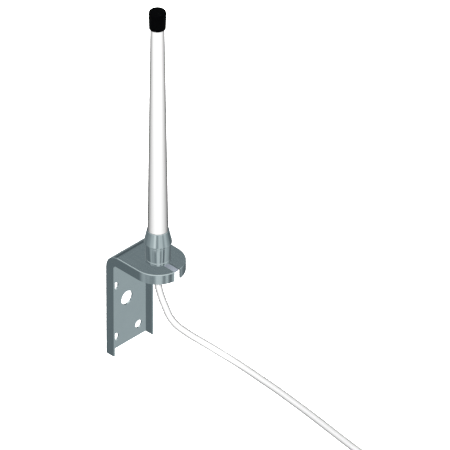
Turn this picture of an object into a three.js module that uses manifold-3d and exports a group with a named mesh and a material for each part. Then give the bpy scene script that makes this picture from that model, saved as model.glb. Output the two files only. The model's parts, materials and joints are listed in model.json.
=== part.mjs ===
// Omnidirectional whip antenna on a wall bracket, with its cable and its coaxial plug.
// Millimetres, +Z up. The wall is the plane y = 0 and the front faces -Y. The origin is the middle of
// the bracket's four screw holes, on its back face. The cable lies level with the bracket's foot.
import * as THREE from 'three';
import { mergeVertices } from 'three/addons/utils/BufferGeometryUtils.js';
import Module from 'manifold-3d';

const wasm = await Module();
wasm.setup();

// ---- Driving dimensions ----

const GAP = 0.3;                  // clearance between pieces that touch
const ROUND = 36;                 // sides of a large turned piece
const SMALL_ROUND = 24;           // sides of a small turned piece

const SHEET = 1.6;                // bracket
const PLATE_WIDTH = 45;
const PLATE_TOP = 63;
const PLATE_FOOT = -36;
const AXIS_REACH = 37;            // from the wall to the antenna's axis
const FLANGE_DEPTH = 9;
const OUTER_BEND = 14;
const INNER_BEND = 2.5;
const SCREW_HOLE = 7.2;
const SCREW_ACROSS = 26;
const SCREW_UPRIGHT = 50;
const CENTRE_HOLE = 12.5;
const CENTRE_HOLE_HEIGHT = 7.4;
const SLOT_WIDTH = 6.6;
const STUD_HOLE = 16.6;

const BASE_RADIUS = 10.4;         // metal base, heights above the bracket's top
const BASE_WASHER_TOP = 2.5;
const BASE_TOP = 17;
const SPIGOT_RADIUS = 6.1;        // the base's upper tube, inside the radome's foot
const SPIGOT_TOP = 26;
const SPIGOT_WALL = 2.5;
const COLLAR_BORE = 7.9;
const COLLAR_FOOT_RADIUS = 11.4;
const COLLAR_TOP_RADIUS = 9;
const COLLAR_TOP = 29.6;

const RADOME_FOOT = 18.8;         // radome and cap
const RADOME_FOOT_RADIUS = 8.45;
const RADOME_TIP_RADIUS = 5.55;
const RADOME_TIP = 237.3;
const RADOME_WALL = 1.2;
const CAP_BORE = 6;
const CAP_FOOT = 225.1;
const CAP_TOP = 241.1;
const CAP_FOOT_RADIUS = 6.8;
const CAP_TOP_RADIUS = 7.2;
const CAP_CHAMFER = 1;

const STUD_RADIUS = 8;            // stud, nut and washers
const STUD_BORE = 4.6;
const STUD_FOOT = -15;
const STUD_TOP = 12;
const NUT_FLATS = 24;
const NUT_HEIGHT = 7;
const FLAT_WASHER_RADIUS = 19.4;
const FLAT_WASHER_THICK = 1.5;
const LOCK_WASHER_RADIUS = 12.2;
const LOCK_WASHER_THICK = 2.2;
const LOCK_WASHER_SPLIT = 0.24;   // radians

const RELIEF_TOP = -5;            // strain relief
const RELIEF_PLUG_RADIUS = 4.3;
const RELIEF_SHOULDER_RADIUS = 6;
const RELIEF_SHOULDER = 1.8;
const RELIEF_NECK_RADIUS = 5;
const RELIEF_END = -21.4;
const RELIEF_END_RADIUS = 4.25;

const CABLE_RADIUS = 3;           // cable
const CABLE_SIDES = 10;

const HANK_TURNS = 1.5;           // turns in a layer, before the quarter turn that climbs to the next
const HANK_LAYERS = 6;
const HANK_INNER = 18.5;          // innermost turn's round ends, to the cable's centre
const HANK_STRAIGHT = 52.3;       // between the centres of the two round ends
const HANK_LIFT = 1.3;            // the ties under the hank raise it by this
const HANK_NEAR = new THREE.Vector3(7.5, -342.5, PLATE_FOOT + HANK_LIFT);
const HANK_BORE = HANK_INNER - CABLE_RADIUS;
const HANK_RADIUS = HANK_INNER + 2 * CABLE_RADIUS * HANK_TURNS + CABLE_RADIUS;
const HANK_HEIGHT = 2 * CABLE_RADIUS * HANK_LAYERS;

const TIE_WIDTH = 3.6;
const TIE_THICK = 1;
const TIE_HEAD = 5.4;
const TIE_HEAD_DEPTH = 3;
const TIE_ANGLE = (155 * Math.PI) / 180;

const LAST_TURN = 27.5;           // the cable's last turn on the hank, to its centre
const PLUG_LIFT = 5;              // from the hank's top to the plug's axis
const PLUG_START = 13;            // from the hank's far round end to the plug's cable end
const PLUG_NUT_FLATS = 8;

// The cable's free stretch, from the strain relief down to the surface and along it to the hank.
const CABLE_ROUTE = [
  [0, -37, 41.6], [0, -37.1, 39], [0.3, -37.6, 35], [1.2, -38.7, 28.8], [2.4, -40.3, 22],
  [3.8, -42.2, 15.4], [5.2, -44.2, 8.9], [7.6, -46.7, 2.8], [10.9, -49.6, -2.7],
  [14.9, -52.7, -7.6], [19, -55.9, -12.2], [23.3, -59.4, -16.6], [27.4, -63.2, -20.8],
  [31.2, -67.7, -24.7], [34.5, -74, -28.3], [36.9, -82.3, -30.9], [37.7, -92, -32.2],
  [37.5, -103.9, -32.8], [36.6, -117.9, -33], [35.4, -133.9, -33], [33.5, -151.7, -33],
  [31.2, -171.6, -33], [28.5, -191.4, -33], [25.2, -214.6, -33], [22, -238, -32.9],
  [20.8, -252, -32.7], [20.9, -265.5, -32.5], [22.7, -278.5, -32.3], [25.8, -290.5, -32],
  [29.6, -302, -31.8], [33.2, -313, -31.7], [35, -324, -31.7],
];

// The short end of the cable, from the hank's last turn over its top to the plug.
const CABLE_TAIL = [
  [-16.3, -408.6, 4.6], [-19.2, -400.9, 4.8], [-20, -393.8, 5.3], [-20, -387.3, 6], [-20, -382.1, 6.25],
];

// ---- Finishes ----

const STEEL = { color: 0x8c9899, roughness: 0.35, metalness: 1 };
const BRIGHT_STEEL = { color: 0xb0bcbe, roughness: 0.22, metalness: 1 };
const WHITE_FIBREGLASS = { color: 0xf4f4f2, roughness: 0.4, metalness: 0 };
const BLACK_RUBBER = { color: 0x060608, roughness: 0.6, metalness: 0 };
const WHITE_JACKET = { color: 0xf2f2f2, roughness: 0.45, metalness: 0 };
const BRASS = { color: 0xb8934a, roughness: 0.35, metalness: 1 };
const COPPER = { color: 0xb87348, roughness: 0.3, metalness: 1 };
const WHITE_FOAM = { color: 0xe8e6df, roughness: 0.9, metalness: 0 };
const CLEAR_RESIN = { color: 0xc9b27a, roughness: 0.3, metalness: 0 };
const PTFE = { color: 0xf0efe9, roughness: 0.5, metalness: 0 };
const GOLD = { color: 0xd8b35a, roughness: 0.25, metalness: 1 };
const BLACK_SLEEVE = { color: 0x101012, roughness: 0.5, metalness: 0 };
const RED_SILICONE = { color: 0x9c3a2c, roughness: 0.6, metalness: 0 };

// ---- Tools ----

function piece(name, geometry, finish) {
  const mesh = new THREE.Mesh(geometry, new THREE.MeshStandardMaterial(finish));
  mesh.name = name;
  return mesh;
}

function toSolid(geometry) {
  const bare = geometry.clone();
  bare.deleteAttribute('normal');
  bare.deleteAttribute('uv');
  const merged = mergeVertices(bare, 1e-4);
  return new wasm.Manifold(new wasm.Mesh({
    numProp: 3,
    vertProperties: new Float32Array(merged.attributes.position.array),
    triVerts: new Uint32Array(merged.index.array),
  }));
}

function toGeometry(solid) {
  const mesh = solid.getMesh();
  const geometry = new THREE.BufferGeometry();
  geometry.setAttribute('position', new THREE.BufferAttribute(mesh.vertProperties, 3));
  geometry.setIndex(new THREE.BufferAttribute(mesh.triVerts, 1));
  return geometry;
}

// A turned piece about Z. The profile is [radius, height] pairs, up the outside and down the inside.
function turned(profile, sides = ROUND) {
  const points = profile.map(([radius, height]) => new THREE.Vector2(radius, height));
  if (profile[0][0] > 0) points.push(points[0].clone());
  return new THREE.LatheGeometry(points, sides).rotateX(Math.PI / 2);
}

function ring(inner, outer, bottom, top, sides = ROUND) {
  return turned([[inner, bottom], [outer, bottom], [outer, top], [inner, top]], sides);
}

function rod(radius, bottom, top, sides = SMALL_ROUND) {
  return turned([[0, bottom], [radius, bottom], [radius, top], [0, top]], sides);
}

function upright(shape, bottom, height, curveSegments = 12) {
  const options = { depth: height, bevelEnabled: false, curveSegments };
  return new THREE.ExtrudeGeometry(shape, options).translate(0, 0, bottom);
}

// A shape drawn in y and z, extruded along X and centred on x = 0.
function sideways(shape, width, curveSegments = 12) {
  const options = { depth: width, bevelEnabled: false, curveSegments };
  const turn = new THREE.Matrix4().makeBasis(
    new THREE.Vector3(0, 1, 0), new THREE.Vector3(0, 0, 1), new THREE.Vector3(1, 0, 0));
  return new THREE.ExtrudeGeometry(shape, options).translate(0, 0, -width / 2).applyMatrix4(turn);
}

function polygon(radius, sides, start = 0) {
  const corners = [];
  for (let i = 0; i < sides; i += 1) {
    const angle = start + (2 * Math.PI * i) / sides;
    corners.push(new THREE.Vector2(radius * Math.cos(angle), radius * Math.sin(angle)));
  }
  return corners;
}

function tubeAlong(curve, radius, steps, sides = CABLE_SIDES) {
  const section = new THREE.Shape(polygon(radius, sides));
  return new THREE.ExtrudeGeometry(section, { steps, bevelEnabled: false, extrudePath: curve });
}

function smoothRoute(route) {
  const points = route.map(([x, y, z]) => new THREE.Vector3(x, y, z));
  return new THREE.CatmullRomCurve3(points, false, 'centripetal');
}

function hexagon(flats, bore, bottom, height) {
  const shape = new THREE.Shape(polygon(flats / Math.sqrt(3), 6));
  shape.holes.push(new THREE.Path(polygon(bore, SMALL_ROUND)));
  return upright(shape, bottom, height);
}

// ---- Bracket ----

// The L seen from the side, `inset` in from the sheet's outer face, and `deep` thick from there.
function bracketProfile(inset, deep, innerBend, past) {
  const back = -inset;
  const top = PLATE_TOP - inset;
  const bend = OUTER_BEND - inset;
  const front = -(AXIS_REACH + PLATE_WIDTH / 2) - past;
  const foot = PLATE_FOOT - past;
  const shape = new THREE.Shape();
  shape.moveTo(back, foot);
  shape.lineTo(back, top - bend);
  shape.absarc(back - bend, top - bend, bend, 0, Math.PI / 2, false);
  shape.lineTo(front, top);
  shape.lineTo(front, top - deep);
  shape.lineTo(back - deep - innerBend, top - deep);
  shape.absarc(back - deep - innerBend, top - deep - innerBend, innerBend, Math.PI / 2, 0, true);
  shape.lineTo(back - deep, foot);
  shape.closePath();
  return shape;
}

// The bracket seen from above: straight sides and a half-round front about the antenna's axis.
function bracketPlan(inset, past) {
  const half = PLATE_WIDTH / 2 - inset;
  const shape = new THREE.Shape();
  shape.moveTo(half, past);
  shape.lineTo(-half, past);
  shape.lineTo(-half, -AXIS_REACH);
  shape.absarc(0, -AXIS_REACH, half, Math.PI, 2 * Math.PI, false);
  shape.closePath();
  return shape;
}

function bracketLayer(inset, deep, innerBend, past) {
  const side = toSolid(sideways(bracketProfile(inset, deep, innerBend, past), PLATE_WIDTH + 2));
  const plan = upright(bracketPlan(inset, past), PLATE_FOOT - 2, PLATE_TOP - PLATE_FOOT + 4, 40);
  return side.intersect(toSolid(plan));
}

function throughWall(diameter, x, z) {
  const cutter = new THREE.CylinderGeometry(diameter / 2, diameter / 2, 6, SMALL_ROUND);
  return toSolid(cutter.translate(x, 0, z));
}

function bracket() {
  const insideDepth = 30;          // deeper than the flange, so that the pan is open behind
  const pan = bracketLayer(0, FLANGE_DEPTH, INNER_BEND, 0);
  let solid = pan.subtract(bracketLayer(SHEET, insideDepth, INNER_BEND, 1));
  for (const x of [-SCREW_ACROSS / 2, SCREW_ACROSS / 2]) {
    for (const z of [-SCREW_UPRIGHT / 2, SCREW_UPRIGHT / 2]) {
      solid = solid.subtract(throughWall(SCREW_HOLE, x, z));
    }
  }
  solid = solid.subtract(throughWall(CENTRE_HOLE, 0, CENTRE_HOLE_HEIGHT));
  const studHole = rod(STUD_HOLE / 2, PLATE_TOP - 4, PLATE_TOP + 2, ROUND);
  solid = solid.subtract(toSolid(studHole.translate(0, -AXIS_REACH, 0)));
  const slotLength = PLATE_WIDTH / 2 + 2;
  const slot = new THREE.BoxGeometry(SLOT_WIDTH, slotLength, FLANGE_DEPTH + 4);
  slot.translate(0, -AXIS_REACH - slotLength / 2, PLATE_TOP - FLANGE_DEPTH / 2);
  solid = solid.subtract(toSolid(slot));
  return piece('bracket', toGeometry(solid), STEEL);
}

// ---- Metal base, stud and nut, on the antenna's axis ----

function baseWasher() {
  return piece('base_washer', ring(STUD_RADIUS + GAP, BASE_RADIUS, GAP, BASE_WASHER_TOP), BRIGHT_STEEL);
}

function ferruleBase() {
  const foot = BASE_WASHER_TOP + GAP;
  const socket = STUD_RADIUS + GAP;
  const socketTop = STUD_TOP + GAP;
  const bore = SPIGOT_RADIUS - SPIGOT_WALL;
  return piece('ferrule_base', turned([
    [socket, foot], [BASE_RADIUS, foot], [BASE_RADIUS, BASE_TOP], [SPIGOT_RADIUS, BASE_TOP],
    [SPIGOT_RADIUS, SPIGOT_TOP], [bore, SPIGOT_TOP], [bore, socketTop], [socket, socketTop],
  ]), BRIGHT_STEEL);
}

function ferruleCollar() {
  const foot = BASE_TOP + GAP;
  return piece('ferrule_collar', turned([
    [COLLAR_BORE, foot], [COLLAR_FOOT_RADIUS, foot], [COLLAR_TOP_RADIUS, COLLAR_TOP],
    [COLLAR_BORE, COLLAR_TOP],
  ]), BRIGHT_STEEL);
}

function mountStud() {
  return piece('mount_stud', ring(STUD_BORE, STUD_RADIUS, STUD_FOOT, STUD_TOP), STEEL);
}

const FLAT_WASHER_TOP = -SHEET - GAP;
const LOCK_WASHER_TOP = FLAT_WASHER_TOP - FLAT_WASHER_THICK - GAP;
const NUT_TOP = LOCK_WASHER_TOP - LOCK_WASHER_THICK - GAP;

function flatWasher() {
  const bottom = FLAT_WASHER_TOP - FLAT_WASHER_THICK;
  const bore = STUD_RADIUS + GAP;
  return piece('flat_washer', ring(bore, FLAT_WASHER_RADIUS, bottom, FLAT_WASHER_TOP), BRIGHT_STEEL);
}

// A ring with a narrow split.
function lockWasher() {
  const start = LOCK_WASHER_SPLIT / 2;
  const end = 2 * Math.PI - start;
  const shape = new THREE.Shape();
  shape.absarc(0, 0, LOCK_WASHER_RADIUS, start, end, false);
  shape.absarc(0, 0, STUD_RADIUS + GAP, end, start, true);
  shape.closePath();
  const bottom = LOCK_WASHER_TOP - LOCK_WASHER_THICK;
  return piece('lock_washer', upright(shape, bottom, LOCK_WASHER_THICK, ROUND), STEEL);
}

function hexNut() {
  const bore = STUD_RADIUS + GAP;
  return piece('hex_nut', hexagon(NUT_FLATS, bore, NUT_TOP - NUT_HEIGHT, NUT_HEIGHT), BRIGHT_STEEL);
}

// A bush plugged into the stud, with a shoulder under it and a taper down to the cable.
function strainRelief() {
  const hole = CABLE_RADIUS + GAP;
  const shoulder = STUD_FOOT - GAP;
  const slope = 0.6;
  return piece('strain_relief', turned([
    [hole, RELIEF_END], [RELIEF_END_RADIUS, RELIEF_END],
    [RELIEF_NECK_RADIUS, shoulder - RELIEF_SHOULDER - slope],
    [RELIEF_SHOULDER_RADIUS, shoulder - RELIEF_SHOULDER], [RELIEF_SHOULDER_RADIUS, shoulder],
    [RELIEF_PLUG_RADIUS, shoulder], [RELIEF_PLUG_RADIUS, RELIEF_TOP], [hole, RELIEF_TOP],
  ], SMALL_ROUND), BLACK_RUBBER);
}

// ---- Radome and what it holds ----

const RADOME_STEP = COLLAR_TOP + GAP;             // where the tube widens to stand on the collar
const RADOME_STEP_BORE = SPIGOT_RADIUS + GAP;
const RADOME_BORE_FOOT = RADOME_STEP + 1.6;       // where its tapered bore begins

function radomeTube() {
  const plugRadius = COLLAR_BORE - GAP;
  return piece('radome_tube', turned([
    [RADOME_STEP_BORE, RADOME_FOOT], [plugRadius, RADOME_FOOT], [plugRadius, RADOME_STEP],
    [RADOME_FOOT_RADIUS, RADOME_STEP], [RADOME_TIP_RADIUS, RADOME_TIP],
    [RADOME_TIP_RADIUS - RADOME_WALL, RADOME_TIP],
    [RADOME_FOOT_RADIUS - RADOME_WALL, RADOME_BORE_FOOT], [RADOME_STEP_BORE, RADOME_STEP],
  ]), WHITE_FIBREGLASS);
}

function radomeBore(height) {
  const foot = RADOME_FOOT_RADIUS - RADOME_WALL;
  const tip = RADOME_TIP_RADIUS - RADOME_WALL;
  return THREE.MathUtils.mapLinear(height, RADOME_BORE_FOOT, RADOME_TIP, foot, tip);
}

function endCap() {
  const roof = RADOME_TIP + GAP;
  return piece('end_cap', turned([
    [0, roof], [CAP_BORE, roof], [CAP_BORE, CAP_FOOT], [CAP_FOOT_RADIUS, CAP_FOOT],
    [CAP_TOP_RADIUS, CAP_TOP - CAP_CHAMFER], [CAP_TOP_RADIUS - CAP_CHAMFER, CAP_TOP], [0, CAP_TOP],
  ]), BLACK_RUBBER);
}

// A soft ring between the radome's foot and the base.
function radomeSeal() {
  const outer = COLLAR_BORE - GAP - 0.1;
  const seal = ring(RADOME_STEP_BORE, outer, BASE_TOP + GAP, RADOME_FOOT - GAP, SMALL_ROUND);
  return piece('radome_seal', seal, BLACK_RUBBER);
}

function basePotting() {
  const depth = 6.7;
  const foot = SPIGOT_TOP + GAP;
  const potting = ring(CABLE_RADIUS + GAP, SPIGOT_RADIUS, foot, foot + depth, SMALL_ROUND);
  return piece('base_potting', potting, CLEAR_RESIN);
}

const SLEEVE_FOOT = 60;
const SLEEVE_LENGTH = 31;         // a quarter wave at 2.4 GHz
const SLEEVE_TOP = SLEEVE_FOOT + SLEEVE_LENGTH;
const SLEEVE_RADIUS = 4.6;
const SLEEVE_WALL = 0.4;
const SLEEVE_ROOF = 1;
const DIELECTRIC_RADIUS = 1.5;
const DIELECTRIC_TOP = 96;
const FEED_TOP = SLEEVE_TOP - 3;
const FEED_SIDES = 16;

function feedCable() {
  const bottom = RELIEF_END + GAP;
  return piece('feed_cable', rod(CABLE_RADIUS, bottom, FEED_TOP, FEED_SIDES), WHITE_JACKET);
}

function feedDielectric() {
  const bottom = FEED_TOP + GAP;
  return piece('feed_dielectric', rod(DIELECTRIC_RADIUS, bottom, DIELECTRIC_TOP, FEED_SIDES), PTFE);
}

// A brass cup, upside down, that the cable's bared end passes through.
function sleeveBalun() {
  const inner = SLEEVE_RADIUS - SLEEVE_WALL;
  const hole = DIELECTRIC_RADIUS + GAP;
  const ceiling = SLEEVE_TOP - SLEEVE_ROOF;
  return piece('sleeve_balun', turned([
    [inner, SLEEVE_FOOT], [SLEEVE_RADIUS, SLEEVE_FOOT], [SLEEVE_RADIUS, SLEEVE_TOP],
    [hole, SLEEVE_TOP], [hole, ceiling], [inner, ceiling],
  ], SMALL_ROUND), BRASS);
}

const WIRE_RADIUS = 0.8;
const WIRE_TOP = 222;
const WINDING_RADIUS = 3;
const WINDING_FOOT = 152;
const WINDING_PITCH = 2.6;
const WINDING_TURNS = 4;
const WINDING_TOP = WINDING_FOOT + WINDING_PITCH * WINDING_TURNS;
const WINDING_RAMP = 4;           // the wire's way out to the winding's radius, and back

// The whip: straight up, four turns of phasing coil, and straight up again, in one wire.
class WhipCurve extends THREE.Curve {
  getPoint(t, target = new THREE.Vector3()) {
    const z = this.heightAt(t);
    const below = THREE.MathUtils.smoothstep(z, WINDING_FOOT - WINDING_RAMP, WINDING_FOOT);
    const above = THREE.MathUtils.smoothstep(z, WINDING_TOP, WINDING_TOP + WINDING_RAMP);
    const radius = WINDING_RADIUS * below * (1 - above);
    const turns = THREE.MathUtils.clamp((z - WINDING_FOOT) / WINDING_PITCH, 0, WINDING_TURNS);
    const angle = 2 * Math.PI * turns;
    return target.set(radius * Math.cos(angle), radius * Math.sin(angle), z);
  }

  // Most of the parameter is spent on the winding, so that its turns stay round.
  heightAt(t) {
    const low = 0.1;
    const high = 0.9;
    const from = WINDING_FOOT - WINDING_RAMP;
    const to = WINDING_TOP + WINDING_RAMP;
    if (t < low) return THREE.MathUtils.mapLinear(t, 0, low, DIELECTRIC_TOP + GAP, from);
    if (t > high) return THREE.MathUtils.mapLinear(t, high, 1, to, WIRE_TOP);
    return THREE.MathUtils.mapLinear(t, low, high, from, to);
  }

  getPointAt(t, target) {
    return this.getPoint(t, target);
  }

  getTangentAt(t, target) {
    return this.getTangent(t, target);
  }
}

function radiator() {
  const steps = 80;
  const sides = 8;
  return piece('radiator', tubeAlong(new WhipCurve(), WIRE_RADIUS, steps, sides), COPPER);
}

function coilFormer() {
  const radius = WINDING_RADIUS - WIRE_RADIUS - 0.4;
  const margin = 0.5;
  const former = rod(radius, WINDING_FOOT + margin, WINDING_TOP - margin, FEED_SIDES);
  return piece('coil_former', former, PTFE);
}

// A foam ring that fills the radome's bore round the sleeve or the wire.
function spacer(name, held, foot) {
  const top = foot + 6;
  const foam = ring(held, radomeBore(top) - GAP, foot, top, SMALL_ROUND);
  return piece(name, foam, WHITE_FOAM);
}

function spacers() {
  const round = SLEEVE_RADIUS + GAP;
  const wire = WIRE_RADIUS + 0.4;
  return [
    spacer('sleeve_spacer', round, 70), spacer('lower_spacer', wire, 118),
    spacer('upper_spacer', wire, 190),
  ];
}

// ---- Cable ----

function cableRun() {
  const steps = 48;
  return piece('cable_run', tubeAlong(smoothRoute(CABLE_ROUTE), CABLE_RADIUS, steps), WHITE_JACKET);
}

function cableTail() {
  const steps = 14;
  return piece('cable_tail', tubeAlong(smoothRoute(CABLE_TAIL), CABLE_RADIUS, steps), WHITE_JACKET);
}

// A racetrack about the hank's near round end, which runs away from it along -Y.
function racetrack(path, radius) {
  path.moveTo(radius, -HANK_STRAIGHT);
  path.lineTo(radius, 0);
  path.absarc(0, 0, radius, 0, Math.PI, false);
  path.lineTo(-radius, -HANK_STRAIGHT);
  path.absarc(0, -HANK_STRAIGHT, radius, Math.PI, 2 * Math.PI, false);
  path.closePath();
  return path;
}

// The stored turns, as one solid with their outer shape and the space in their middle.
function cableHank() {
  const shape = racetrack(new THREE.Shape(), HANK_RADIUS);
  shape.holes.push(racetrack(new THREE.Path(), HANK_BORE));
  const mesh = piece('cable_hank', upright(shape, 0, HANK_HEIGHT), WHITE_JACKET);
  mesh.position.copy(HANK_NEAR);
  return mesh;
}

function rectangle(path, left, bottom, right, top) {
  path.moveTo(left, bottom);
  path.lineTo(right, bottom);
  path.lineTo(right, top);
  path.lineTo(left, top);
  path.closePath();
  return path;
}

// A tie round the hank's section at one of its round ends: a loop, drawn in radius and height, with
// its head outside.
function hankTie(name, endY, angle) {
  const low = -GAP;
  const high = HANK_HEIGHT + GAP;
  const inner = HANK_BORE - GAP;
  const outer = HANK_RADIUS + GAP;
  const shape = rectangle(
    new THREE.Shape(), inner - TIE_THICK, low - TIE_THICK, outer + TIE_THICK, high + TIE_THICK);
  shape.holes.push(rectangle(new THREE.Path(), inner, low, outer, high));
  const loop = upright(shape, -TIE_WIDTH / 2, TIE_WIDTH).rotateX(Math.PI / 2);
  const head = new THREE.BoxGeometry(TIE_HEAD_DEPTH, TIE_HEAD, TIE_HEAD);
  const overlap = 0.3;
  head.translate(outer + TIE_THICK + TIE_HEAD_DEPTH / 2 - overlap, 0, HANK_HEIGHT / 2);
  const mesh = piece(name, toGeometry(toSolid(loop).add(toSolid(head))), BLACK_SLEEVE);
  mesh.position.copy(HANK_NEAR);
  mesh.position.y += endY;
  mesh.rotation.z = angle;
  return mesh;
}

// ---- Plug, drawn along Z from the cable's side to its tip ----

const BOOT_LENGTH = 12;
const BOOT_RADIUS = 4.1;
const BOOT_NECK_RADIUS = 3.7;
const CRIMP_FOOT = BOOT_LENGTH + GAP;
const CRIMP_LENGTH = 10.1;
const CRIMP_RADIUS = 3.95;
const CRIMP_WAIST_RADIUS = 3.65;
const BODY_FOOT = CRIMP_FOOT + CRIMP_LENGTH + GAP;
const BODY_RADIUS = 3.3;
const FLANGE_FOOT = 27;           // the body's flange, behind the coupling nut
const FLANGE_TOP = 31;
const FLANGE_RADIUS = 3.9;
const BARREL_RADIUS = 2.3;
const BARREL_BORE = 2;
const BARREL_TOP = 37;
const NUT_FOOT = FLANGE_TOP + GAP;
const NUT_COLLAR = 1.4;
const NUT_COLLAR_RADIUS = 3.9;
const PLUG_NUT_BORE = 3.2;
const PLUG_TIP = 39.5;

function plugBoot() {
  const bore = CABLE_RADIUS + GAP;
  const shoulder = 1;
  return piece('plug_boot', turned([
    [bore, 0], [BOOT_NECK_RADIUS, 0], [BOOT_RADIUS, shoulder], [BOOT_RADIUS, BOOT_LENGTH],
    [bore, BOOT_LENGTH],
  ], SMALL_ROUND), BLACK_SLEEVE);
}

function crimpFerrule() {
  const bore = CABLE_RADIUS + GAP;
  const rim = 2.2;
  const slope = 0.5;
  const top = CRIMP_FOOT + CRIMP_LENGTH;
  return piece('crimp_ferrule', turned([
    [bore, CRIMP_FOOT], [CRIMP_RADIUS, CRIMP_FOOT], [CRIMP_RADIUS, CRIMP_FOOT + rim],
    [CRIMP_WAIST_RADIUS, CRIMP_FOOT + rim + slope], [CRIMP_WAIST_RADIUS, top - rim - slope],
    [CRIMP_RADIUS, top - rim], [CRIMP_RADIUS, top], [bore, top],
  ], SMALL_ROUND), GOLD);
}

function plugBody() {
  const chamfer = 0.4;
  const seatFoot = 26;
  const seatTop = 30;
  const seatBore = 1.6;
  return piece('plug_body', turned([
    [BARREL_BORE, BODY_FOOT], [BODY_RADIUS, BODY_FOOT], [BODY_RADIUS, FLANGE_FOOT],
    [FLANGE_RADIUS, FLANGE_FOOT + chamfer], [FLANGE_RADIUS, FLANGE_TOP], [BARREL_RADIUS, FLANGE_TOP],
    [BARREL_RADIUS, BARREL_TOP], [BARREL_BORE, BARREL_TOP], [BARREL_BORE, seatTop],
    [seatBore, seatTop], [seatBore, seatFoot], [BARREL_BORE, seatFoot],
  ], SMALL_ROUND), GOLD);
}

const PIN_RADIUS = 0.5;

function plugInsulator() {
  const foot = 30.3;
  const insulator = ring(PIN_RADIUS + GAP, 1.75, foot, BARREL_TOP - GAP, SMALL_ROUND);
  return piece('plug_insulator', insulator, PTFE);
}

function plugPin() {
  const foot = 24;
  const shoulder = BARREL_TOP - GAP;
  const tip = 38.6;
  const tipRadius = 0.3;
  return piece('plug_pin', turned([
    [0, foot], [PIN_RADIUS, foot], [PIN_RADIUS, shoulder], [tipRadius, tip], [0, tip],
  ], FEED_SIDES), GOLD);
}

// A thin ring between the barrel and the coupling nut.
function barrelRing(name, foot, finish) {
  const thick = 0.7;
  const inner = BARREL_RADIUS + 0.2;
  return piece(name, ring(inner, PLUG_NUT_BORE - 0.2, foot, foot + thick, SMALL_ROUND), finish);
}

function couplingNut() {
  const hexFoot = NUT_FOOT + NUT_COLLAR - 0.2;
  const hex = hexagon(PLUG_NUT_FLATS, PLUG_NUT_BORE, hexFoot, PLUG_TIP - hexFoot);
  const collar = ring(
    BARREL_RADIUS + GAP, NUT_COLLAR_RADIUS, NUT_FOOT, NUT_FOOT + NUT_COLLAR, SMALL_ROUND);
  return piece('coupling_nut', toGeometry(toSolid(hex).add(toSolid(collar))), GOLD);
}

// The plug lies on the hank's left run and points back along it.
function plug() {
  const group = new THREE.Group();
  group.add(plugBoot(), crimpFerrule(), plugBody(), plugInsulator(), plugPin(), couplingNut());
  group.add(barrelRing('nut_retainer', 33, BRASS), barrelRing('plug_gasket', 34.2, RED_SILICONE));
  group.position.copy(HANK_NEAR);
  group.position.x -= LAST_TURN;
  group.position.y += PLUG_START - HANK_STRAIGHT;
  group.position.z += HANK_HEIGHT + PLUG_LIFT;
  group.rotation.x = -Math.PI / 2;
  return group;
}

// ---- Assembly ----

const mast = new THREE.Group();
mast.position.set(0, -AXIS_REACH, PLATE_TOP);
mast.add(baseWasher(), ferruleBase(), ferruleCollar(), mountStud(), flatWasher(), lockWasher());
mast.add(hexNut(), strainRelief(), radomeTube(), endCap(), radomeSeal(), basePotting());
mast.add(feedCable(), feedDielectric(), sleeveBalun(), radiator(), coilFormer(), ...spacers());

const antenna = new THREE.Group();
antenna.add(bracket(), mast, cableRun(), cableHank(), cableTail(), plug());
antenna.add(hankTie('hank_tie_1', 0, TIE_ANGLE));
antenna.add(hankTie('hank_tie_2', -HANK_STRAIGHT, TIE_ANGLE - Math.PI));

export default antenna;
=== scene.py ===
"""Looks of a wall-mounted omnidirectional antenna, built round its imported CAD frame.

Shapes are written in millimetres and scaled to metres as each mesh is made.
"""
import json
import math

import bmesh
import bpy
from mathutils import Matrix, Vector


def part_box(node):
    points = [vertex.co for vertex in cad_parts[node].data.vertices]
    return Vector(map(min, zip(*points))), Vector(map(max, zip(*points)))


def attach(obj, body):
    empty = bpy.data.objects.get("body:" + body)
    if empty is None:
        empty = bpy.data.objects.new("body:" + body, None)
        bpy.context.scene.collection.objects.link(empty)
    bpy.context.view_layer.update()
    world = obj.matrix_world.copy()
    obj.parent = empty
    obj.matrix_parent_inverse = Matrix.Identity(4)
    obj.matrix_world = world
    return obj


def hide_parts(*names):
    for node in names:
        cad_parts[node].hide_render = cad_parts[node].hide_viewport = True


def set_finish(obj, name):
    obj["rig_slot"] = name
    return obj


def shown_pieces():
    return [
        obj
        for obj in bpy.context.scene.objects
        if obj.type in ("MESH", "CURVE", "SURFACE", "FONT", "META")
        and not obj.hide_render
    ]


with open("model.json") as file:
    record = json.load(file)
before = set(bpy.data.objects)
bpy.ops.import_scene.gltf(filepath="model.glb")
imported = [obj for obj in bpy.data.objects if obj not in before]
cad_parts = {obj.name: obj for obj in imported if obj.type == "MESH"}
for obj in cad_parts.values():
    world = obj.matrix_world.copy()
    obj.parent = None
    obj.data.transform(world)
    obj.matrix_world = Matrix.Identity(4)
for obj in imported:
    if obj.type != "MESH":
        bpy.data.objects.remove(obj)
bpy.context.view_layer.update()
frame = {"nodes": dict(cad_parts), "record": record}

MM = 0.001
BODY = "antenna"
NUT_BODY = "plug_nut"


# ---- Places and sizes, from the frame ----

def box_mm(node):
    low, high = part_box(node)
    return low / MM, high / MM


BRACKET_LOW, BRACKET_HIGH = box_mm("bracket")
WASHER_LOW, WASHER_HIGH = box_mm("base_washer")
AXIS = (WASHER_LOW + WASHER_HIGH) / 2
PLATE_TOP = BRACKET_HIGH.z
FLOOR = BRACKET_LOW.z
HANK_LOW, HANK_HIGH = box_mm("cable_hank")


# ---- Camera ----

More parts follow.
